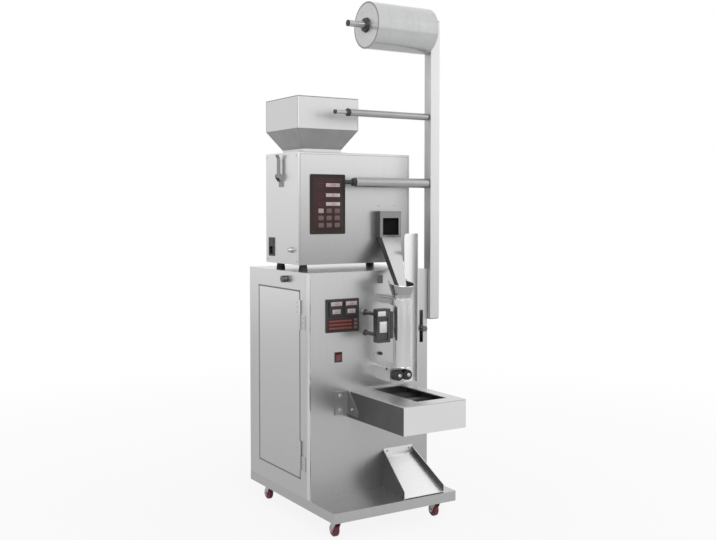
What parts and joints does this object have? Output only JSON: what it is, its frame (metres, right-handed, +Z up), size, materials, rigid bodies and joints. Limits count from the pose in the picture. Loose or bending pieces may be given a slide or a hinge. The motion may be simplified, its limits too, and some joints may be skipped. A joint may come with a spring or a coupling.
{
  "type": "powder filling machine",
  "caption": "Free-standing filling machine on casters with a hopper, weigher housing, film mast, bag forming tube, seal trough and outlet slide.",
  "frame": {"origin": "on the floor under the middle of the machine's outer box", "axes": "+Z up along the height, -Y out of the front with the former and the outlet, +X to the right seen from the front"},
  "size_m": [0.503, 0.723, 1.635],
  "materials": {
    "stainless": "fine vertical brushing, satin",
    "polished": "polished stainless tube and sheet",
    "zinc": "zinc plated pressed steel",
    "red_wheel": "dark red cast wheel",
    "black_plastic": "fine matt black plastic",
    "black_rubber": "matt black rubber",
    "red_rocker": "dark red moulded rocker",
    "panel_film": "brown red printed polyester",
    "instrument": "dark instrument front",
    "film": "wound clear plastic film",
    "paper_core": "plain spiral wound paper tube",
    "steel": "turned steel",
    "aluminium": "machined aluminium",
    "black_metal": "black coated metal",
    "motor_paint": "grey blue machine paint"
  },
  "bodies": {
    "machine": {"base_tray": "stainless", "caster_plates": "zinc", "cabinet_shell": "stainless", "rear_cover": "stainless", "control_panel": "black_plastic", "temperature_controllers": "instrument", "rocker_housing": "black_plastic", "weigher_housing": "stainless", "housing_feet": "black_rubber", "weigher_keypad": "panel_film", "power_inlet": "black_plastic", "cable_gland": "black_plastic", "discharge_hood": "stainless", "feed_chute": "polished", "hopper": "stainless", "latch_base": "zinc", "weigh_bucket": "stainless", "feeder_tray": "stainless", "mast": "stainless", "mast_brackets": "zinc", "film_spindle": "steel", "roller_shafts": "steel", "shaft_collars": "black_plastic", "forming_tube": "polished", "forming_collar": "polished", "film_guide_plate": "stainless", "tube_bracket": "stainless", "seal_block": "black_metal", "pull_housing": "aluminium", "seal_trough": "stainless", "trough_cover": "stainless", "corner_bracket": "stainless", "jaw_rods": "steel", "outlet_slide": "stainless", "drive_motor": "motor_paint"},
    "side_door": {"side_door": "stainless"},
    "turn_latch": {"turn_latch": "black_plastic"},
    "rocker": {"rocker_button": "red_rocker"},
    "latch_lever": {"latch_lever": "polished"},
    "bucket_gate": {"bucket_gate": "stainless"},
    "film_reel": {"film_cones": "black_plastic", "film_core": "paper_core", "film_roll": "film"},
    "upper_roller": {"upper_roller": "aluminium"},
    "lower_roller": {"lower_roller": "aluminium"},
    "seal_bar": {"seal_bar": "black_metal"},
    "pull_wheel_left": {"pull_wheel_left": "black_rubber"},
    "pull_wheel_right": {"pull_wheel_right": "black_rubber"},
    "front_jaw": {"front_jaw": "black_metal"},
    "rear_jaw": {"rear_jaw": "black_metal"},
    "sensor_slide": {"sensor_slide": "aluminium"},
    "camshaft": {"camshaft": "steel"},
    "caster_swivel_front_left": {"caster_fork_front_left": "zinc"},
    "caster_wheel_front_left": {"caster_wheel_front_left": "red_wheel"},
    "caster_swivel_front_right": {"caster_fork_front_right": "zinc"},
    "caster_wheel_front_right": {"caster_wheel_front_right": "red_wheel"},
    "caster_swivel_rear_left": {"caster_fork_rear_left": "zinc"},
    "caster_wheel_rear_left": {"caster_wheel_rear_left": "red_wheel"},
    "caster_swivel_rear_right": {"caster_fork_rear_right": "zinc"},
    "caster_wheel_rear_right": {"caster_wheel_rear_right": "red_wheel"}
  },
  "joints": [
    {"name": "caster_swivel_front_left", "type": "hinge", "parent": "machine", "child": "caster_swivel_front_left", "pos_m": [-0.1935, -0.1575, 0.045], "axis": [0, 0, 1], "continuous": true},
    {"name": "caster_wheel_front_left", "type": "hinge", "parent": "caster_swivel_front_left", "child": "caster_wheel_front_left", "pos_m": [-0.1935, -0.1445, 0.02], "axis": [1, 0, 0], "continuous": true},
    {"name": "caster_swivel_front_right", "type": "hinge", "parent": "machine", "child": "caster_swivel_front_right", "pos_m": [0.1765, -0.1575, 0.045], "axis": [0, 0, 1], "continuous": true},
    {"name": "caster_wheel_front_right", "type": "hinge", "parent": "caster_swivel_front_right", "child": "caster_wheel_front_right", "pos_m": [0.1765, -0.1445, 0.02], "axis": [1, 0, 0], "continuous": true},
    {"name": "caster_swivel_rear_left", "type": "hinge", "parent": "machine", "child": "caster_swivel_rear_left", "pos_m": [-0.1935, 0.2855, 0.045], "axis": [0, 0, 1], "continuous": true},
    {"name": "caster_wheel_rear_left", "type": "hinge", "parent": "caster_swivel_rear_left", "child": "caster_wheel_rear_left", "pos_m": [-0.1935, 0.2985, 0.02], "axis": [1, 0, 0], "continuous": true},
    {"name": "caster_swivel_rear_right", "type": "hinge", "parent": "machine", "child": "caster_swivel_rear_right", "pos_m": [0.1765, 0.2855, 0.045], "axis": [0, 0, 1], "continuous": true},
    {"name": "caster_wheel_rear_right", "type": "hinge", "parent": "caster_swivel_rear_right", "child": "caster_wheel_rear_right", "pos_m": [0.1765, 0.2985, 0.02], "axis": [1, 0, 0], "continuous": true},
    {"name": "side_door_hinge", "type": "hinge", "parent": "machine", "child": "side_door", "pos_m": [-0.2375, -0.0065, 0.4], "axis": [0, 0, 1], "range_deg": [0, 110]},
    {"name": "turn_latch_turn", "type": "hinge", "parent": "machine", "child": "turn_latch", "pos_m": [-0.2335, 0.0865, 0.766], "axis": [1, 0, 0], "range_deg": [-90, 0]},
    {"name": "rocker_tilt", "type": "hinge", "parent": "machine", "child": "rocker", "pos_m": [-0.126, -0.0505, 0.526], "axis": [1, 0, 0], "range_deg": [-20, 0]},
    {"name": "latch_lever_lift", "type": "hinge", "parent": "machine", "child": "latch_lever", "pos_m": [-0.2445, 0.1195, 1.091], "axis": [0, -1, 0], "range_deg": [0, 110]},
    {"name": "bucket_gate_drop", "type": "hinge", "parent": "machine", "child": "bucket_gate", "pos_m": [0.056, 0.1025, 1.0366], "axis": [1, 0, 0], "range_deg": [0, 60]},
    {"name": "film_reel_spin", "type": "hinge", "parent": "machine", "child": "film_reel", "pos_m": [0.2165, -0.05, 1.562], "axis": [1, 0, 0], "continuous": true},
    {"name": "upper_roller_spin", "type": "hinge", "parent": "machine", "child": "upper_roller", "pos_m": [0.2165, -0.05, 1.287], "axis": [1, 0, 0], "continuous": true},
    {"name": "lower_roller_spin", "type": "hinge", "parent": "machine", "child": "lower_roller", "pos_m": [0.2165, -0.05, 1.071], "axis": [1, 0, 0], "continuous": true},
    {"name": "seal_bar_press", "type": "slide", "parent": "machine", "child": "seal_bar", "axis": [1, 0, 0], "range_m": [0, 0.0062]},
    {"name": "pull_wheel_left_spin", "type": "hinge", "parent": "machine", "child": "pull_wheel_left", "pos_m": [0.0268, -0.0935, 0.47], "axis": [0, 1, 0], "continuous": true},
    {"name": "pull_wheel_right_spin", "type": "hinge", "parent": "machine", "child": "pull_wheel_right", "pos_m": [0.0602, -0.0935, 0.47], "axis": [0, 1, 0], "continuous": true},
    {"name": "front_jaw_close", "type": "slide", "parent": "machine", "child": "front_jaw", "axis": [0, 1, 0], "range_m": [0, 0.022]},
    {"name": "rear_jaw_close", "type": "slide", "parent": "machine", "child": "rear_jaw", "axis": [0, -1, 0], "range_m": [0, 0.022]},
    {"name": "sensor_slide_shift", "type": "slide", "parent": "machine", "child": "sensor_slide", "axis": [0, 0, 1], "range_m": [-0.036, 0.048]},
    {"name": "camshaft_turn", "type": "hinge", "parent": "machine", "child": "camshaft", "pos_m": [-0.1735, 0.0385, 0.376], "axis": [1, 0, 0], "continuous": true}
  ],
  "couplings": [
    {"joint": "pull_wheel_right_spin", "follows": "pull_wheel_left_spin", "ratio": -1},
    {"joint": "rear_jaw_close", "follows": "front_jaw_close", "ratio": 1}
  ]
}
